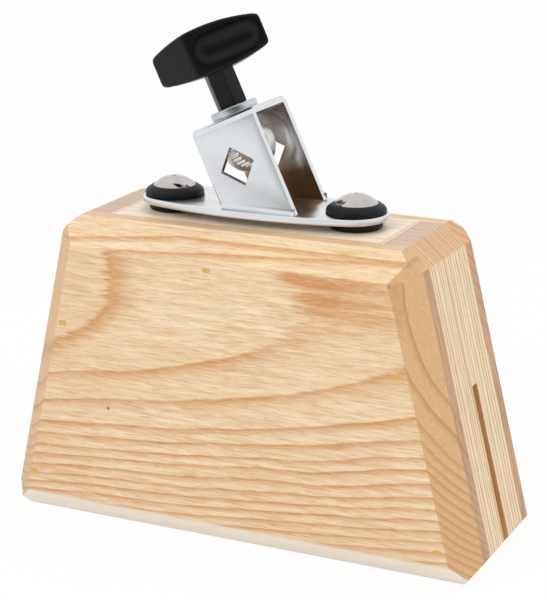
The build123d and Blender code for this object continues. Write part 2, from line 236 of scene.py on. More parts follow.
# %% [markdown]
# The white surroundings do the rest. They are white to the camera and in reflections, and lend the wood
# only part of that as light, so no pale surface burns out. In reflections the room behind the camera is
# dimmer than the white walls, which gives the chrome something dark to show.

# %% surroundings
light_on_wood, room_in_mirror = 0.52, 0.15
to_the_room = (0.43, -0.9, 0.05)

world = bpy.data.worlds.new("studio")
bpy.context.scene.world = world
world.use_nodes = True
sky = world.node_tree
background = sky.nodes["Background"]
background.inputs["Color"].default_value = (1.0, 1.0, 1.0, 1.0)
ray = sky.nodes.new("ShaderNodeLightPath").outputs
clear = larger(sky, ray["Is Camera Ray"], ray["Is Glossy Ray"], ray["Is Transmission Ray"])
heading = sky.nodes.new("ShaderNodeTexCoord").outputs["Generated"]
dimmed = spread(sky, dot(sky, heading, to_the_room), 0.5, 0.86, 1.0, room_in_mirror)
mirrored = mixed(sky, ray["Is Glossy Ray"], 1.0, dimmed)
sky.links.new(mixed(sky, clear, light_on_wood, mirrored), background.inputs["Strength"])
bpy.context.scene.view_settings.view_transform = "Standard"
print("surroundings:", len(sky.nodes), "nodes")

# %% [markdown]
# ## Ash
# Ash is a pale wood with strong growth rings. Each ring starts with a band of open pores, which looks
# like a sharp brown line that fades towards the next ring. A flat picture of wood would break at every
# edge, so the finish works like the tree: it measures how far a point is from the heart of the trunk and
# turns that distance into rings. The same numbers then give flowing lines on the face, steep ones on the
# bevels and stripes on the sawn ends.

# %% counting rings
fade_share, longest_fade = 0.6, 3.6


def count_rings(tree, reach, rings):
    # a curve turns a distance into a ring's number. Its extra points let the ring's brown line fade within a
    # few millimetres, however wide the ring is
    points = []
    for k, radius in enumerate(rings):
        points.append((radius, k))
        if k + 1 < len(rings):
            points.append((radius + min(fade_share * (rings[k + 1] - radius), longest_fade), k + fade_share))
    curve = tree.nodes.new("ShaderNodeFloatCurve")
    line = curve.mapping.curves[0]
    first, last, steps = rings[0], rings[-1], len(rings) - 1
    while len(line.points) < len(points):
        line.points.new(0.5, 0.5)
    for point, (radius, number) in zip(line.points, points):
        point.location = ((radius - first) / (last - first), number / steps)
        point.handle_type = "VECTOR"
    curve.mapping.update()
    tree.links.new(spread(tree, reach, first, last), curve.inputs["Value"])
    return times(tree, curve.outputs[0], float(steps))


# %% [markdown]
# The colour is laid on in passes, as a polisher would. Along the grain come broad clouds, fibres,
# streaks, the rings' brown lines, pores and light hairs. A cut across the grain opens the pores, so a
# bevel is deeper in colour and a sawn end is darker and pinker.

# %% colour passes
def along_the_grain(tree, grained, cloud, fibre, pore, band, pale, mid, dark, brushed):
    streak, hair = grained(0.03, 0.5, 3.0), grained(0.26, 3.6)
    warm = tuple(int(m * 0.6 + d * 0.4) for m, d in zip(mid, dark))
    light = tuple(min(252, int(p * 1.02)) for p in pale)
    tone = blend(tree, spread(tree, cloud, 0.35, 0.65, 0.0, 0.35), colour(*pale), colour(*mid))
    tone = blend(tree, spread(tree, fibre, 0.4, 0.6, 0.0, 0.75 * brushed), tone, colour(*mid))
    tone = blend(tree, spread(tree, streak, 0.46, 0.66, 0.0, 0.5 * brushed), tone, colour(*warm))
    tone = blend(tree, band, tone, colour(*dark))
    pores = times(tree, pore, spread(tree, band, 0.0, 0.7, 0.34 * brushed, 0.5))
    tone = blend(tree, pores, tone, colour(*shade(dark, 0.96)))
    tone = blend(tree, spread(tree, hair, 0.5, 0.7, 0.0, 0.22), tone, colour(*shade(dark, 0.9)))
    return blend(tree, spread(tree, hair, 0.5, 0.32, 0.0, 0.3), tone, colour(*light))


def across_the_grain(tree, place, across, fibre, band, tone, bevelled, sawn):
    dots = spread(tree, noise(tree, place, 1.3, 2.0, 0.6), 0.5, 0.7, 0.0, 0.4)
    ring_line = (bevelled[0] * 0.86, bevelled[1] * 0.79, bevelled[2] * 0.72)
    mottle = spread(tree, fibre, 0.42, 0.62, 0.0, 0.5)
    cut = blend(tree, mottle, colour(*bevelled), colour(*shade(bevelled, 0.93)))
    cut = blend(tree, times(tree, dots, 0.8), cut, colour(*shade(bevelled, 0.86)))
    cut = blend(tree, times(tree, band, 0.85), cut, colour(*ring_line))
    tone = blend(tree, spread(tree, across, 0.15, 0.42, 0.0, 0.88), tone, cut)
    cut = blend(tree, larger(tree, times(tree, band, 0.8), dots), colour(*sawn), colour(*shade(sawn, 0.8)))
    return blend(tree, spread(tree, across, 0.78, 0.93, 0.0, 0.92), tone, cut)


# %% [markdown]
# A board's grain is told by a few directions. One runs along the fibres, and one crosses the rings. A board
# cut beside the heart of the trunk has a third, which rises from the heart, and says where the heart lies.
# A board without a heart is quarter-sawn, and its rings are flat layers.

# %% a wood finish
# how far a ring's edge wanders, in millimetres
torn, clean = 1.2, 0.1


def ash(name, along, side, rise=None, heart=None, rings=None, ring_width=3.0, pale=(247, 227, 194),
        mid=(234, 203, 161), dark=(206, 152, 98), bevelled=(221, 177, 128), sawn=(212, 167, 130),
        strength=1.0, waver=0.6, brushed=1.0, seed=0.0, extra=None):
    material, tree, shader = new_material(name)
    place, normal = millimetres(tree)
    u, v = plus(tree, dot(tree, place, along), seed), dot(tree, place, side)
    through, over = dot(tree, place, Y), dot(tree, place, (-along[2], 0, along[0]))

    def grained(lengthways, crossways, detail=2.0, rough=0.55):
        # the fibres run straight along the piece, so their noise is stretched that way
        x, y, z = times(tree, u, lengthways), times(tree, through, crossways), times(tree, over, crossways)
        return noise(tree, vector_of(tree, x, y, z), 1.0, detail, rough)

    across = size_of(tree, dot(tree, normal, along))
    if heart:
        v, w = plus(tree, v, heart[0]), plus(tree, dot(tree, place, rise), heart[1])
        reach = calc(tree, "SQRT", plus(tree, times(tree, v, v), times(tree, w, w)))
        # the flat tongues near the heart have torn tips, but the steep lines further out and those on a bevel
        # are clean
        loose = spread(tree, size_of(tree, w), 7.0, 24.0, torn, clean)
        loose = times(tree, loose, spread(tree, across, 0.1, 0.3, 1.0, 0.12))
    else:
        # flat layers, some wider than others
        wider = noise(tree, vector_of(tree, 0.0, times(tree, v, 0.17), 0.0), 1.0, 1.0)
        reach, loose = plus(tree, v, 300.0, spread(tree, wider, 0.3, 0.7, -1.2, 1.2)), clean
    slow = spread(tree, grained(0.024, 0.05), 0.3, 0.7, -waver, waver)
    fine = times(tree, spread(tree, grained(0.055, 0.85, 3.0), 0.32, 0.68, -1.0, 1.0), loose)
    reach = plus(tree, reach, slow, fine)
    count = count_rings(tree, reach, rings) if rings else calc(tree, "DIVIDE", reach, ring_width)
    phase = calc(tree, "FRACT", count)
    # open pores at the start of each ring: a quick start, softer where the figure is torn, and then a fade
    # into dense wood
    start = spread(tree, phase, 0.0, spread(tree, loose, 0.3, torn, 0.08, 0.36))
    band = smaller(tree, start, calc(tree, "POWER", spread(tree, phase, 0.1, 0.78, 1.0, 0.0), 1.9))
    uneven = noise(tree, vector_of(tree, times(tree, u, 0.014), calc(tree, "FLOOR", count), 0.0), 1.7, 1.0)
    band = times(tree, band, spread(tree, uneven, 0.3, 0.7, 0.62 * strength, 1.05 * strength))
    if extra:
        band = extra(tree, place, normal, reach, band, grained)
    fibre, pore = grained(0.07, 1.05), spread(tree, grained(0.12, 1.55), 0.53, 0.66)
    cloud = grained(0.012, 0.03, 1.0, 0.5)
    tone = along_the_grain(tree, grained, cloud, fibre, pore, band, pale, mid, dark, brushed)
    tone = across_the_grain(tree, place, across, fibre, band, tone, bevelled, sawn)
    tree.links.new(tone, shader.inputs["Base Color"])
    tree.links.new(spread(tree, pore, 0.0, 1.0, 0.42, 0.58), shader.inputs["Roughness"])
    shader.inputs["Specular IOR Level"].default_value = 0.35
    sunk_lines = times(tree, band, spread(tree, across, 0.1, 0.3, -0.25, 0.0))
    bump(tree, shader, plus(tree, times(tree, pore, -0.6), sunk_lines), 0.3, 0.0001)
    return material


# %% [markdown]
# Some places take one more tint: a stain, a speck, a glue line, or painted light and shade. Each is a mask,
# a number from 0 to 1 that depends on the place and on which way the surface faces, and a colour that the
# mask lets through.

# %% stains and painted light, and putting a finish on
def stain_or_painted_light(material, mask, tint):
    tree = material.node_tree
    socket = tree.nodes["Principled BSDF"].inputs["Base Color"]
    under = socket.links[0].from_socket
    tree.links.new(blend(tree, mask(tree, *millimetres(tree)), under, colour(*tint)), socket)


def speck(x, y, z, radius, strength):
    def mask(tree, place, normal):
        offset = tree.nodes.new("ShaderNodeVectorMath")
        offset.operation = "DISTANCE"
        tree.links.new(place, offset.inputs[0])
        offset.inputs[1].default_value = (x, y, z)
        return spread(tree, offset.outputs["Value"], radius * 0.4, radius, strength, 0.0)
    return mask


def dress(material, *names):
    for name in names:
        data = nodes[name].data
        data.materials.clear()
        data.materials.append(material)
    print(material.name, "on", ", ".join(names))


# %% [markdown]
# The front panel was sawn beside the heart of the tree, so its rings open into long tongues. The
# distances of the dark lines from the heart, in millimetres, are wide apart near the middle and close
# together towards the bark. One more ring, a tan area and two lines on the upper bevel are added to what
# the plain distances give.

# %% the front's figure
front_rings = (47.9, 56.8, 65.2, 69.8, 74.2, 77.5, 81.4, 85.1, 88.2,
               91.4, 94.6, 97.9, 101.0, 104.4, 107.6, 110.8, 114.0)
front_y, upper_arris = -34.0, 110.4
# the inner ring: its place at the top, and how it swings out to the left below that
inner_x, inner_top_z, inner_swing, inner_power = -50.0, 92.0, 0.289, 1.464
# the tan area sets in between these heights, places and distances from the heart, and fades further right
tan_z, tan_x, tan_fade_x, tan_reach = (90.0, 96.0), (12.0, 20.0), (44.0, 74.0), (47.6, 49.4)
# the two lines on the upper bevel: the slope of each and its height over the arris
first_slope, first_rise = 0.053, 2.9
second_slope, second_rise, second_limit = 0.091, 8.6, 6.7


def line_at(tree, past, fade, soft=0.1):
    # a line that starts where past is 0, sharply or softly, and fades over a distance
    start = spread(tree, past, -soft, 2.5 * soft)
    return smaller(tree, start, spread(tree, past, 3.0 * soft, fade, 1.0, 0.0))


def front_figure(tree, place, normal, reach, band, grained):
    x, z = dot(tree, place, X), dot(tree, place, Z)
    ragged = spread(tree, grained(0.06, 0.8, 3.0), 0.32, 0.68, -2.8, 2.8)
    # an inner ring comes up from the lower left, climbs, and leaves over the front edge
    drop = calc(tree, "POWER", larger(tree, minus(tree, inner_top_z, z), 0.0), inner_power)
    past = plus(tree, times(tree, drop, inner_swing), plus(tree, x, -inner_x), ragged)
    inner = times(tree, line_at(tree, past, 14.0, soft=0.9), 0.85)
    # beyond the tongue's tip the wood is tan, in level streaks
    streaks = spread(tree, grained(0.02, 0.35, 3.0), 0.36, 0.56, 0.45, 1.0)
    beyond = times(tree, spread(tree, plus(tree, z, ragged), *tan_z), spread(tree, reach, *tan_reach),
                   spread(tree, x, *tan_fade_x, 0.95, 0.45), streaks, spread(tree, x, *tan_x))
    on_face = below(tree, z, upper_arris)
    face = times(tree, larger(tree, band, inner, beyond), on_face)
    # two more rings cross the upper bevel and meet at its right end
    high = minus(tree, plus(tree, z, times(tree, ragged, 0.07)), upper_arris)
    first = minus(tree, plus(tree, times(tree, x, first_slope), first_rise), high)
    second_z = smaller(tree, plus(tree, times(tree, x, second_slope), second_rise), second_limit)
    second = minus(tree, second_z, high)
    top_edge = times(tree, above(tree, dot(tree, normal, Z), 0.95), 0.45)
    bevel = larger(tree, line_at(tree, first, 2.2), line_at(tree, second, 2.2), top_edge)
    return plus(tree, face, times(tree, bevel, minus(tree, 1.0, on_face), 0.8))


front_ash = ash("front_ash", X, (0.175, -2, 0), Z, (-25.0, -97.0), rings=front_rings, extra=front_figure,
                pale=(243, 222, 189), mid=(231, 200, 159), dark=(205, 143, 84), sawn=(208, 162, 125))


# %% stains and painted light on the two panels
def floor_light_on_chamfer(tree, place, normal):
    # the lower chamfer is painted paler: painted light standing in for what the white floor throws up onto it
    straight = spread(tree, size_of(tree, dot(tree, normal, X)), 0.1, 0.2, 1.0, 0.0)
    facing = above(tree, times(tree, dot(tree, normal, FORWARD), straight), 0.2)
    return times(tree, spread(tree, dot(tree, place, Z), 7.4, 9.0, 0.85, 0.0), facing)


def side_lines(tree, place, normal):
    # thin ring lines run up the narrow sawn side of a panel
    y, z = dot(tree, place, Y), dot(tree, place, Z)
    stretched = vector_of(tree, 0.0, times(tree, y, 1.5), times(tree, z, 0.03))
    sawn_side = above(tree, size_of(tree, dot(tree, normal, X)), 0.9)
    return times(tree, spread(tree, noise(tree, stretched, 1.0, 2.0), 0.48, 0.62, 0.0, 0.6), sawn_side)


def left_front(tree, place, normal):
    # a broad pass of heartwood deepens the upper left
    slanted = plus(tree, dot(tree, place, X), times(tree, dot(tree, place, Z), -0.4))
    facing = above(tree, dot(tree, normal, FORWARD), 0.95)
    return times(tree, spread(tree, slanted, -60.0, -130.0, 0.0, 0.22), facing)


line_tint, speck_tint = (158, 102, 64), (150, 92, 52)
# painted light from the floor on the lower chamfer
stain_or_painted_light(front_ash, floor_light_on_chamfer, (255, 247, 234))
stain_or_painted_light(front_ash, side_lines, line_tint)
stain_or_painted_light(front_ash, left_front, (200, 150, 104))
for x, z, radius, strength in ((-50.0, 48.0, 0.9, 0.85), (64.5, 109.5, 1.0, 0.5)):
    stain_or_painted_light(front_ash, speck(x, front_y, z, radius, strength), speck_tint)
back_ash = ash("back_ash", X, (0.12, 2, 0), Z, (-22.0, -40.0), seed=300.0,
               rings=(8, 20, 31, 41, 50, 57, 63, 68, 72.5,
                      76.5, 80.2, 83.8, 87.2, 90.5, 93.8, 97, 100.2, 103.4))
stain_or_painted_light(back_ash, side_lines, line_tint)
dress(front_ash, "front_panel")
dress(back_ash, "back_panel")

# %% [markdown]
# The end boards lean with the sides of the block, and their grain runs up the slope. They are
# quarter-sawn: the rings are flat layers from front to back, so they show as straight lines up the
# outside, on across the sawn corner, and from left to right on the top. The walls of the saw kerf are
# painted tan: painted light, standing in for the warm light bounced between them in the shaded slot.

# %% the boards between the panels
side_run, side_height, kerf_reach = 28.5, 120.0, 6.0
lean_of_side = atan2(side_run, side_height)


# painted light: a warm tan on the kerf's walls stands in for light bounced between them in the shaded slot
def kerf_bounce_light(tree, place, normal):
    faces_across = above(tree, size_of(tree, dot(tree, normal, Y)), 0.9)
    return times(tree, faces_across, below(tree, size_of(tree, dot(tree, place, Y)), kerf_reach), 0.8)


for board, hand in (("left_end_board", -1), ("right_end_board", 1)):
    up_slope = (-hand * sin(lean_of_side), 0, cos(lean_of_side))
    finish = ash(board + "_ash", up_slope, (0.02 * hand, 1, 0.012), ring_width=2.6, seed=120.0 * hand,
                 pale=(250, 231, 199), mid=(243, 219, 183), dark=(206, 150, 96), bevelled=(226, 184, 138),
                 sawn=(213, 186, 164), waver=0.5, brushed=0.35, strength=1.25)
    # the kerf's painted bounce light
    stain_or_painted_light(finish, kerf_bounce_light, (226, 172, 112))
    dress(finish, board)
top_ash = ash("top_ash", X, Y, (0, 0.12, 1), (45.0, -80.0), ring_width=4.2, seed=70.0, strength=0.5,
              pale=(250, 238, 220), mid=(243, 226, 203), dark=(228, 198, 164), brushed=0.6)
rail_ash = ash("rail_ash", X, (0, 1, 0.1), Z, (50.0, 30.0), ring_width=3.1, seed=500.0)
dress(top_ash, "top_board")
dress(rail_ash, "bottom_rail_front", "bottom_rail_back")

# %% [markdown]
# Each joint strip is a slanting veneer of a paler wood. The glue lines on its two faces show as thin
# reddish lines, so the finish measures how far a point is from the strip's middle plane.

# %% joint strips
glue_start, glue_full = 0.5, 0.2

for strip, hand in (("left_joint_strip", -1), ("right_joint_strip", 1)):
    out_slope = Vector((hand * cos(lean_of_side), 0, sin(lean_of_side)))
    reaches = [v.co.dot(out_slope) * 1000 for v in nodes[strip].data.vertices]
    centre, half = (min(reaches) + max(reaches)) / 2, (max(reaches) - min(reaches)) / 2
    up_slope = (-hand * sin(lean_of_side), 0, cos(lean_of_side))
    finish = ash(strip + "_ash", up_slope, Y, ring_width=2.4, seed=30.0 * hand, strength=0.5, brushed=0.6,
                 pale=(245, 224, 194), mid=(238, 213, 178), dark=(222, 186, 142), sawn=(240, 218, 190))

    def glue_line(tree, place, normal):
        off = size_of(tree, minus(tree, dot(tree, place, tuple(out_slope)), centre))
        return spread(tree, off, half - glue_start, half - glue_full, 0.0, 0.65)

    stain_or_painted_light(finish, glue_line, (188, 124, 88))
    dress(finish, strip)
    print(strip, "is", round(2 * half, 2), "mm thick")

# %% [markdown]
# ## Plain finishes
# Putty, metal, rubber and nylon have no grain. Each is a fine mottle between two close tints that also
# varies how rough the surface is. Filler over the brads is a smooth putty, a little yellower than the
# wood. The metal has three finishes: bright chrome on the clamp and the domes, a bluish zinc on the
# washer, and plain bright steel on what is mostly hidden.

# %% putty and metals
def plain(name, tint, other, rough, rough_to, metal=0.0, scale=2.0, relief=0.0, specular=0.5):
    material, tree, shader = new_material(name)
    mottle = noise(tree, millimetres(tree)[0], scale, 3.0, 0.6)
    tone = blend(tree, spread(tree, mottle, 0.35, 0.65), colour(*tint), colour(*other))
    tree.links.new(tone, shader.inputs["Base Color"])
    tree.links.new(spread(tree, mottle, 0.3, 0.7, rough, rough_to), shader.inputs["Roughness"])
    shader.inputs["Metallic"].default_value = metal
    shader.inputs["Specular IOR Level"].default_value = specular
    if relief:
        bump(tree, shader, mottle, relief, 0.00005)
    return material


putty = plain("putty", (222, 182, 98), (208, 164, 84), 0.5, 0.625, scale=1.5, relief=0.2)
chrome = plain("chrome", (226, 229, 231), (221, 223, 226), 0.2, 0.25, metal=1.0, scale=0.05)
zinc = plain("zinc", (206, 214, 218), (190, 199, 205), 0.26, 0.32, metal=1.0, scale=0.15)
steel = plain("steel", (232, 231, 229), (221, 219, 216), 0.22, 0.28, metal=1.0, scale=0.06)
dome_chrome = plain("polished_dome", (202, 196, 194), (190, 186, 185), 0.06, 0.1, metal=1.0, scale=0.2)
dress(putty, "brad_fillers")
dress(chrome, "clamp_bracket")
dress(dome_chrome, "left_dome_bolt", "right_dome_bolt")
dress(zinc, "clamp_washer")
dress(steel, "eye_bolt", "wing_nut_bush", "panel_brads", "left_spacer", "right_spacer",
      "left_inner_washer", "right_inner_washer", "left_inner_nut", "right_inner_nut")

# %% [markdown]
# Inside the folded box the clamp's inner walls are painted dark and brown: painted shade, strongest low down,
# and a painted brown reflection of the wood, with a band left bright as a painted highlight. One tint between
# the walls, on faces that look front or back, paints that, and another paints shade and the walls' reflection
# onto the plate there.

# %% painted shade inside the clamp
wall_inside, tower_x, tower_reach, plate_top_z = 11.7, 4.0, 30.0, 127.0


def between_walls(tree, place):
    return below(tree, size_of(tree, dot(tree, place, Y)), wall_inside)


# painted shade and a painted brown reflection on the inner walls, darkest low down and again high up; the
# band between is left bright as a painted highlight
def inside_shade_and_reflection(tree, place, normal):
    faces_across = above(tree, size_of(tree, dot(tree, normal, Y)), 0.7)
    near_tower = below(tree, size_of(tree, minus(tree, dot(tree, place, X), tower_x)), tower_reach)
    mottle = spread(tree, noise(tree, place, 0.1, 2.0, 0.5), 0.3, 0.7, -4.0, 4.0)
    height = plus(tree, dot(tree, place, (0.2, 0, 1)), mottle)
    low_down = spread(tree, height, 138.0, 147.0, 0.95, 0.1)
    high_up = spread(tree, height, 150.0, 157.0, 0.1, 0.6)
    return times(tree, between_walls(tree, place), faces_across, near_tower, larger(tree, low_down, high_up))


# painted shade and a painted reflection of the brown walls on the plate between them
def plate_shade_and_reflection(tree, place, normal):
    x = dot(tree, place, X)
    flat = times(tree, above(tree, dot(tree, normal, Z), 0.8), below(tree, dot(tree, place, Z), plate_top_z))
    run = times(tree, spread(tree, x, 17.0, 25.0, 0.75, 0.0), spread(tree, x, -9.0, -7.0))
    return times(tree, flat, between_walls(tree, place), run)


# painted shade and reflection inside the clamp: on the inner walls and on the plate between them
stain_or_painted_light(chrome, inside_shade_and_reflection, (142, 116, 88))
stain_or_painted_light(chrome, plate_shade_and_reflection, (186, 158, 126))

# %% [markdown]
# The mounts are soft black rubber, and the grip is black nylon with a satin skin. Neither is pure black:
# both keep a little grey so that their shapes can be read.

# %% black parts
rubber = plain("rubber", (17, 17, 19), (24, 24, 26), 0.4, 0.5, scale=1.2, relief=0.25, specular=0.2)
nylon = plain("nylon", (13, 13, 14), (18, 18, 19), 0.3, 0.375, scale=3.0, relief=0.15, specular=0.22)
dress(rubber, "left_grommet", "right_grommet")
dress(nylon, "wing_nut_grip")

# %% [markdown]
# ## Modelling helpers
# New pieces start from a primitive and are shaped in edit mode. An operator acts on whatever is selected,
# so a helper picks faces, edges or corners by their place, in millimetres, before each step. A finished
# piece gets its material and smooth shading, goes under its body, and hides the imported piece it stands for.

# %% modelling helpers
MM = 0.001


def begin(name, adder, **settings):
    bpy.ops.object.select_all(action="DESELECT")
    adder(**settings)
    made = bpy.context.object
    made.name = made.data.name = name
    bpy.ops.object.transform_apply(location=True, rotation=True, scale=True)
    bpy.ops.object.mode_set(mode="EDIT")
    return made


def pick(made, kind, test):
    shape = bmesh.from_edit_mesh(made.data)
    bpy.ops.mesh.select_mode(type=kind)
    bpy.ops.mesh.select_all(action="DESELECT")
    count = 0
    for item in {"FACE": shape.faces, "EDGE": shape.edges, "VERT": shape.verts}[kind]:
        if test(item):
            item.select_set(True)
            count += 1
    bmesh.update_edit_mesh(made.data)
    return count


def end(made, body, slot, material, *stands_for, smooth):
    bpy.ops.object.mode_set(mode="OBJECT")
    made.data.materials.clear()
    made.data.materials.append(material)
    bpy.ops.object.shade_smooth_by_angle(angle=radians(smooth))
    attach(made, body)
    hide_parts(*stands_for)
    print(made.name, len(made.data.polygons), "faces")


# %% [markdown]
# The round pieces share two steps. A rim, which is a ring of edges, is rounded, and a bore through the
# middle joins the two flat caps.

# %% rims and bores
sides, near = 96, 0.05


def soften(made, x, radius, height, width, steps):
    # rounds the ring of edges at this radius and height, about an upright axis at x
    def rim(edge):
        ends = [v.co / MM for v in edge.verts]
        return all(abs(hypot(e.x - x, e.y) - radius) < near and abs(e.z - height) < near for e in ends)

    found = pick(made, "EDGE", rim)
    bpy.ops.mesh.bevel(offset=width * MM, segments=steps, affect="EDGES")
    return found


def bore(made, margin):
    def cap(face):
        return abs(face.normal.z) > 0.99 and len(face.verts) == sides

    pick(made, "FACE", cap)
    bpy.ops.mesh.inset(thickness=margin * MM)
    pick(made, "FACE", cap)
    bpy.ops.mesh.bridge_edge_loops()


print("round pieces have", sides, "sides")

# %% [markdown]
# ## Rubber mounts
# Each mount is one moulding: a foot under the plate, a waist in the plate's hole and a ring on top, whose
# upper side slopes down from the bolt head. It starts as the foot, a low cylinder. Its top face is inset
# and drawn up for the waist, drawn out and up for the ring, and drawn in for the slope, and then the rims
# are bevelled until they look moulded. A bore for the steel spacer joins the two caps.

# %% rubber mounts
foot_radius, waist_radius, ring_radius, slope_radius, hole_radius = 9.8, 7.5, 11.2, 8.7, 4.25
foot_height, plate_thickness, ring_height, ring_side = 3.2, 2.5, 3.4, 1.7
block_top_z = 120.0
foot_top_z = block_top_z + foot_height
ring_foot_z = foot_top_z + plate_thickness
seat_z = ring_foot_z + ring_height
bolt_places = (-37.6, 37.6)


def rubber_mount(name, x, node):
    made = begin(name, bpy.ops.mesh.primitive_cylinder_add, vertices=sides, radius=foot_radius * MM,
                 depth=foot_height * MM, location=(x * MM, 0, (block_top_z + foot_height / 2) * MM))

    def draw_up(height, radius, new_radius):
        bpy.ops.mesh.extrude_region_move(TRANSFORM_OT_translate={"value": (0, 0, height * MM)})
        factor = new_radius / radius
        bpy.ops.transform.resize(value=(factor, factor, 1), center_override=(x * MM, 0, 0))

    pick(made, "FACE", lambda f: f.normal.z > 0.99)
    bpy.ops.mesh.inset(thickness=(foot_radius - waist_radius) * MM)
    draw_up(plate_thickness, waist_radius, waist_radius)
    draw_up(0, waist_radius, ring_radius)
    draw_up(ring_side, ring_radius, ring_radius)
    draw_up(ring_height - ring_side, ring_radius, slope_radius)
    # from the top down: a rim's radius, its height, and the width and steps of its rounding
    rims = ((slope_radius, seat_z, 0.35, 2), (ring_radius, ring_foot_z + ring_side, 1.0, 5),
            (ring_radius, ring_foot_z, 0.5, 3), (foot_radius, foot_top_z, 0.4, 2),
            (foot_radius, block_top_z, 1.2, 5))
    print(name, "rims of", [soften(made, x, *rim) for rim in rims], "edges")
    bore(made, waist_radius - hole_radius)
    end(made, "block", "mount_rubber", rubber, node, smooth=40)


rubber_mount("left_mount", bolt_places[0], "left_grommet")
rubber_mount("right_mount", bolt_places[1], "right_grommet")

# %% [markdown]
# ## Domed bolt heads
# The heads are parts of a ball, polished and plated. A fine ball is cut flat with bisect, its flat is
# inset and drawn down for the shank, and a tiny pip is left on the crown, as a turned head often has.

# %% domed bolts
dome_radius, dome_rise, dome_rim, pip_height, pip_drop = 8.1, 3.6, 0.3, 0.12, 0.02
shank_radius, shank_length = 3.0, 36.0
ball_radius = (dome_radius ** 2 + dome_rise ** 2) / (2 * dome_rise)


def at_crown(face):
    # the few faces round the pole, whose middles lie hardly lower than the crown
    heights = [v.co.z / MM for v in face.verts]
    return sum(heights) / len(heights) > seat_z + dome_rise - pip_drop


def domed_bolt(name, x, node):
    made = begin(name, bpy.ops.mesh.primitive_uv_sphere_add, segments=sides, ring_count=sides,
                 radius=ball_radius * MM, location=(x * MM, 0, (seat_z + dome_rise - ball_radius) * MM))
    bpy.ops.mesh.select_all(action="SELECT")
    bpy.ops.mesh.bisect(plane_co=(x * MM, 0, seat_z * MM), plane_no=(0, 0, 1), clear_inner=True,
                        use_fill=True)
    pick(made, "FACE", lambda f: f.normal.z < -0.99 and len(f.verts) == sides)
    bpy.ops.mesh.inset(thickness=(dome_radius - shank_radius) * MM)
    bpy.ops.mesh.extrude_region_move(TRANSFORM_OT_translate={"value": (0, 0, -shank_length * MM)})
    print(name, "rim of", soften(made, x, dome_radius, seat_z, dome_rim, 3), "edges")
    pick(made, "FACE", at_crown)
    bpy.ops.mesh.extrude_region_move(TRANSFORM_OT_translate={"value": (0, 0, pip_height * MM)})
    end(made, "block", "dome_chrome", dome_chrome, node, smooth=40)


domed_bolt("left_dome", bolt_places[0], "left_dome_bolt")
domed_bolt("right_dome", bolt_places[1], "right_dome_bolt")

# %% [markdown]
# ## The leaning clamp
# The tower, the eye and the wing nut share one leaning axis. Their pieces are modelled upright at the
# origin, which keeps the numbers plain, and are then turned and moved onto the axis once, with the turn
# applied to the mesh.

# %% the clamp's own frame
clamp_lean = radians(24.6)
clamp_foot = Vector((3.9, 0, 125.7)) * MM
clamp_axis = Vector((-sin(clamp_lean), 0, cos(clamp_lean)))
clamp_across = Vector((cos(clamp_lean), 0, sin(clamp_lean)))


def set_on_axis(made, height, turn=0.0):
    # takes an upright piece at the origin to a height on the leaning axis
    along = clamp_across * cos(turn) + Vector((0, sin(turn), 0))
    through = clamp_across * -sin(turn) + Vector((0, cos(turn), 0))
    turned = Matrix((along, through, clamp_axis)).transposed().to_4x4()
    bpy.ops.object.mode_set(mode="OBJECT")
    made.matrix_world = Matrix.Translation(clamp_foot + clamp_axis * height * MM) @ turned
    bpy.ops.object.transform_apply(location=True, rotation=True, scale=True)


print("axis", tuple(round(v, 4) for v in clamp_axis))

# %% [markdown]
# The washer under the nut is a stamped ring: its rims are rounded by the die. A cylinder is bored and its
# two outer rims are bevelled.

# %% clamp washer
washer_radius, washer_thickness, washer_hole, washer_rim = 9.0, 3.0, 3.25, 0.65
tower_height = 35.7
washer = begin("rounded_washer", bpy.ops.mesh.primitive_cylinder_add, vertices=sides,
               radius=washer_radius * MM, depth=washer_thickness * MM)
bore(washer, washer_radius - washer_hole)
rims = [soften(washer, 0, washer_radius, half * washer_thickness, washer_rim, 5) for half in (0.5, -0.5)]
print("washer rims of", rims, "edges")
set_on_axis(washer, tower_height + washer_thickness / 2)
end(washer, "block", "washer_zinc", zinc, "clamp_washer", smooth=40)

# %% [markdown]
# ## Clamp bracket
# The bracket was blanked and folded, and then polished and plated, so every cut edge is a little rounded.
# That thin bright line along each edge is what makes sheet metal look like metal. The folded shape itself
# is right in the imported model, so a copy of it is welded, its flat faces are dissolved to clean outlines,
# and a bevel rounds its sharp edges.

# %% clamp bracket
def round_sharp_edges(made, width, sharper_than):
    rounding = made.modifiers.new("rounding", "BEVEL")
    rounding.limit_method = "ANGLE"
    rounding.angle_limit = radians(sharper_than)
    rounding.width = width * MM
    rounding.segments = 3
    bpy.ops.object.modifier_apply(modifier="rounding")


bpy.ops.object.select_all(action="DESELECT")
bracket = nodes["clamp_bracket"].copy()
bracket.data = nodes["clamp_bracket"].data.copy()
bracket.name = bracket.data.name = "rounded_bracket"
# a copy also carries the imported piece's tags, and must not pass for that piece
for key in list(bracket.keys()):
    del bracket[key]
bracket.parent = None
bpy.context.scene.collection.objects.link(bracket)
bracket.select_set(True)
bpy.context.view_layer.objects.active = bracket
bpy.ops.object.mode_set(mode="EDIT")
bpy.ops.mesh.select_all(action="SELECT")
bpy.ops.mesh.remove_doubles(threshold=0.01 * MM)
bpy.ops.mesh.dissolve_limited(angle_limit=radians(0.5))
bpy.ops.object.mode_set(mode="OBJECT")
round_sharp_edges(bracket, 0.5, sharper_than=40)
end(bracket, "block", "bracket_chrome", chrome, "clamp_bracket", smooth=30)

# %% [markdown]
# ## The grip
# The grip is a T of black nylon. Seen from above it is a long four-cornered shape with its tips pushed
# opposite ways, so that a thumb and a finger each find a hollow. A cube gets those corners, and its
# upright edges are rounded.

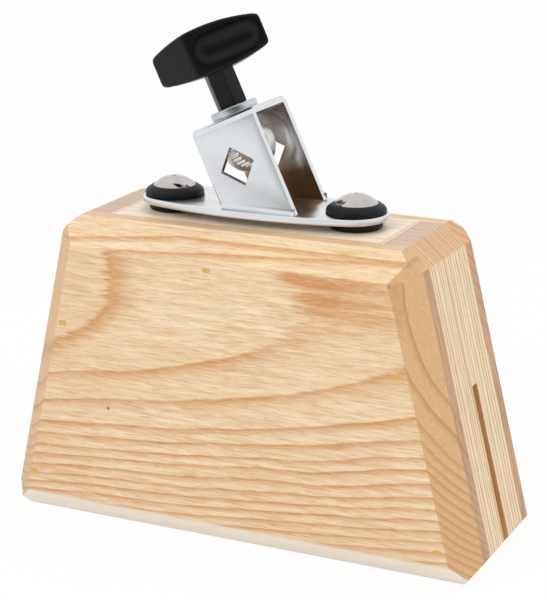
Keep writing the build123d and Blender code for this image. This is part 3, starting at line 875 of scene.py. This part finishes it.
# %% the grip's outline
half_length, tip_offset, knee, knee_offset = 22.9, 5.6, 7.3, 7.5
tips = {(1, -1): (half_length, -tip_offset), (-1, 1): (-half_length, tip_offset)}
knees = {(1, 1): (knee, knee_offset), (-1, -1): (-knee, -knee_offset)}
tip_rounding, knee_rounding = 1.9, 0.9

grip = begin("rounded_grip", bpy.ops.mesh.primitive_cube_add, size=2 * MM)
for (side_x, side_y), (x, y) in (*tips.items(), *knees.items()):
    pick(grip, "VERT", lambda v: v.co.x * side_x > 0 and v.co.y * side_y > 0)
    bpy.ops.transform.translate(value=((x - side_x) * MM, (y - side_y) * MM, 0))


def stands_at(edge, places):
    a, b = (v.co / MM for v in edge.verts)
    return abs(a.z - b.z) > 1 and any(hypot(a.x - x, a.y - y) < near for x, y in places)


for corners, rounding_width in ((tips, tip_rounding), (knees, knee_rounding)):
    print("corner edges", pick(grip, "EDGE", lambda e: stands_at(e, corners.values())))
    bpy.ops.mesh.bevel(offset=rounding_width * MM, segments=6, affect="EDGES")

# %% [markdown]
# Seen from the side, the grip's back is crowned and its belly is fuller in the middle. Bisect cuts it
# across, most closely near the tips, so that each cut's corners can be set to an arc's height. Its rims
# are bevelled after that.

# %% the crowned back
crown, tip_crown, belly, tip_belly = 9.2, 5.2, 8.6, 5.8
tip_round, tip_share = 2.2, 0.8
cut_step, cuts_each_way, cuts_near_tip = 2.1, 9, (2.2, 1.6, 1.1, 0.7)
tip_end = max(v.co.x for v in bmesh.from_edit_mesh(grip.data).verts) / MM


def arc_height(x, middle, at_end):
    # a circle through the middle height at 0 and the end height at the tips, rounded off where the tip ends
    sag = middle - at_end
    radius = (half_length ** 2 + sag ** 2) / (2 * sag)
    into_tip = min(tip_round, max(0.0, abs(x) - (tip_end - tip_round))) * tip_share
    return sqrt(radius ** 2 - x ** 2) - radius + middle - (tip_round - sqrt(tip_round ** 2 - into_tip ** 2))


cuts = [step * cut_step for step in range(-cuts_each_way, cuts_each_way + 1)]
cuts += [hand * (tip_end - inset) for hand in (-1, 1) for inset in cuts_near_tip]
for cut_at in cuts:
    bpy.ops.mesh.select_all(action="SELECT")
    bpy.ops.mesh.bisect(plane_co=(cut_at * MM, 0, 0), plane_no=(1, 0, 0))
shape = bmesh.from_edit_mesh(grip.data)
for v in shape.verts:
    x = v.co.x / MM
    v.co.z = arc_height(x, crown, tip_crown) * MM if v.co.z > 0 else -arc_height(x, belly, tip_belly) * MM
bmesh.update_edit_mesh(grip.data)
print("grip body", len(shape.faces), "faces, tip at", round(tip_end, 2))


# %% rounding the grip
def rim_edge(edge):
    # a rim lies between an upright face and the crowned back or belly
    upright = [abs(f.normal.z) < 0.02 for f in edge.link_faces]
    return len(upright) == 2 and upright[0] != upright[1]


rim_rounding = 1.0
print("rim edges", pick(grip, "EDGE", rim_edge))
bpy.ops.mesh.bevel(offset=rim_rounding * MM, segments=4, affect="EDGES")
bpy.ops.object.mode_set(mode="OBJECT")

# %% [markdown]
# A thumb hollow runs along each long face. Its cutter is a ball that is parted at its equator and drawn
# out along the face, and a boolean takes it away. The ball's radius follows from how wide and how deep
# the hollow is.

# %% thumb hollows
def apply_boolean(made, tool, operation):
    change = made.modifiers.new("change", "BOOLEAN")
    change.operation = operation
    change.solver = "EXACT"
    change.object = tool
    bpy.ops.object.select_all(action="DESELECT")
    made.select_set(True)
    bpy.context.view_layer.objects.active = made
    bpy.ops.object.modifier_apply(modifier="change")
    bpy.data.objects.remove(tool, do_unlink=True)


face_run, face_rise = half_length + knee, knee_offset - tip_offset
face_length = hypot(face_run, face_rise)
along_face = Vector((face_run, face_rise, 0)) / face_length
out_of_face = Vector((face_rise, -face_run, 0)) / face_length
hollow_width, hollow_depth, knee_margin, tip_margin = 13.0, 3.7, 1.6, 1.8
equator = 1e-7
hollow_radius = (hollow_width ** 2 / 4 + hollow_depth ** 2) / (2 * hollow_depth)
hollow_length = face_length - knee_margin - tip_margin - hollow_width
from_knee = knee_margin + hollow_width / 2 + hollow_length / 2
on_face = Vector((-knee, -knee_offset, 0)) + along_face * from_knee
for turn in (1, -1):
    centre = (on_face + out_of_face * (hollow_radius - hollow_depth)) * turn
    cutter = begin("cutter", bpy.ops.mesh.primitive_uv_sphere_add, segments=64, ring_count=32,
                   radius=hollow_radius * MM)
    pick(cutter, "VERT", lambda v: v.co.z > equator)
    bpy.ops.transform.translate(value=(0, 0, hollow_length / 2 * MM))
    pick(cutter, "VERT", lambda v: v.co.z < equator)
    bpy.ops.transform.translate(value=(0, 0, -hollow_length / 2 * MM))
    bpy.ops.object.mode_set(mode="OBJECT")
    drawn_along = along_face.to_track_quat("Z", "Y").to_matrix().to_4x4()
    cutter.matrix_world = Matrix.Translation(centre * MM) @ drawn_along
    bpy.ops.object.transform_apply(location=True, rotation=True, scale=True)
    apply_boolean(grip, cutter, "DIFFERENCE")
print("hollows", round(hollow_length + hollow_width, 1), "mm long, of radius", round(hollow_radius, 2))

# %% [markdown]
# The hexagonal boss is joined below, with its edges already rounded, and a round socket is taken out of
# it for the steel bush. One last bevel softens what the booleans left sharp, and the grip goes up onto
# the clamp's axis.

# %% boss and socket
grip_foot, grip_rise, grip_turn = 38.85, 22.0, radians(24.0)
boss_flats, boss_turn, boss_top, boss_rounding = 10.4, radians(-12.2), -5.5, 0.35
boss_height = grip_rise + boss_top
socket_radius, socket_length, socket_middle = 4.1, 20.0, 6.0
boss = begin("boss", bpy.ops.mesh.primitive_cylinder_add, vertices=6, radius=boss_flats / sqrt(3) * MM,
             depth=boss_height * MM, location=(0, 0, (-grip_rise + boss_height / 2) * MM),
             rotation=(0, 0, boss_turn + radians(90)))
pick(boss, "EDGE", lambda e: True)
bpy.ops.mesh.bevel(offset=boss_rounding * MM, segments=3, affect="EDGES")
bpy.ops.object.mode_set(mode="OBJECT")
apply_boolean(grip, boss, "UNION")
socket = begin("socket", bpy.ops.mesh.primitive_cylinder_add, vertices=64, radius=socket_radius * MM,
               depth=socket_length * MM, location=(0, 0, (-grip_rise + socket_middle) * MM))
bpy.ops.object.mode_set(mode="OBJECT")
apply_boolean(grip, socket, "DIFFERENCE")
round_sharp_edges(grip, 0.4, sharper_than=28)
set_on_axis(grip, grip_foot + grip_rise, grip_turn)
end(grip, "wing_nut", "grip_plastic", nylon, "wing_nut_grip", smooth=30)

# %% [markdown]
# ## Floor
# The floor is a wide pale sheet. To the camera it is nearly white by its own colour, and it keeps the
# soft shadow that ties the block to it. For all other light it is an ordinary pale surface that throws
# some light back up. In reflections it is dimmer far off at the left and in front at the right, where a
# studio has its dark cards.

# %% the sheet
bpy.ops.mesh.primitive_plane_add(size=12.0, location=(0, 0, 0))
floor = bpy.context.object
floor.name = "floor"
paper, tree, shader = new_material("paper")
shader.inputs["Base Color"].default_value = (0.9, 0.9, 0.9, 1.0)
shader.inputs["Roughness"].default_value = 0.9
glow = tree.nodes.new("ShaderNodeEmission")
glow.inputs["Color"].default_value = (1.0, 1.0, 1.0, 1.0)
mix = tree.nodes.new("ShaderNodeMixShader")
print("sheet", tuple(floor.dimensions[:2]), "metres")

# %% what shows in reflections of the floor
white_to_camera, far_in_mirror, cards_in_mirror = 0.95, 0.9, 0.25
left_card, front_card, right_half = (-0.28, -0.45), (-0.4, -0.52), (0.0, 0.15)

ray = tree.nodes.new("ShaderNodeLightPath").outputs
spot = tree.nodes.new("ShaderNodeTexCoord").outputs["Object"]
floor_x, floor_y = dot(tree, spot, X), dot(tree, spot, Y)
from_left = spread(tree, floor_x, *left_card)
from_front = smaller(tree, spread(tree, floor_y, *front_card), spread(tree, floor_x, *right_half))
in_mirror = spread(tree, larger(tree, from_left, from_front), 0.0, 1.0, far_in_mirror, cards_in_mirror)
to_camera = times(tree, ray["Is Camera Ray"], white_to_camera)
share = larger(tree, to_camera, times(tree, ray["Is Glossy Ray"], in_mirror))
tree.links.new(share, mix.inputs[0])
tree.links.new(shader.outputs[0], mix.inputs[1])
tree.links.new(glow.outputs[0], mix.inputs[2])
tree.links.new(mix.outputs[0], tree.nodes["Material Output"].inputs["Surface"])
floor.data.materials.append(paper)
print("floor:", len(tree.nodes), "nodes")
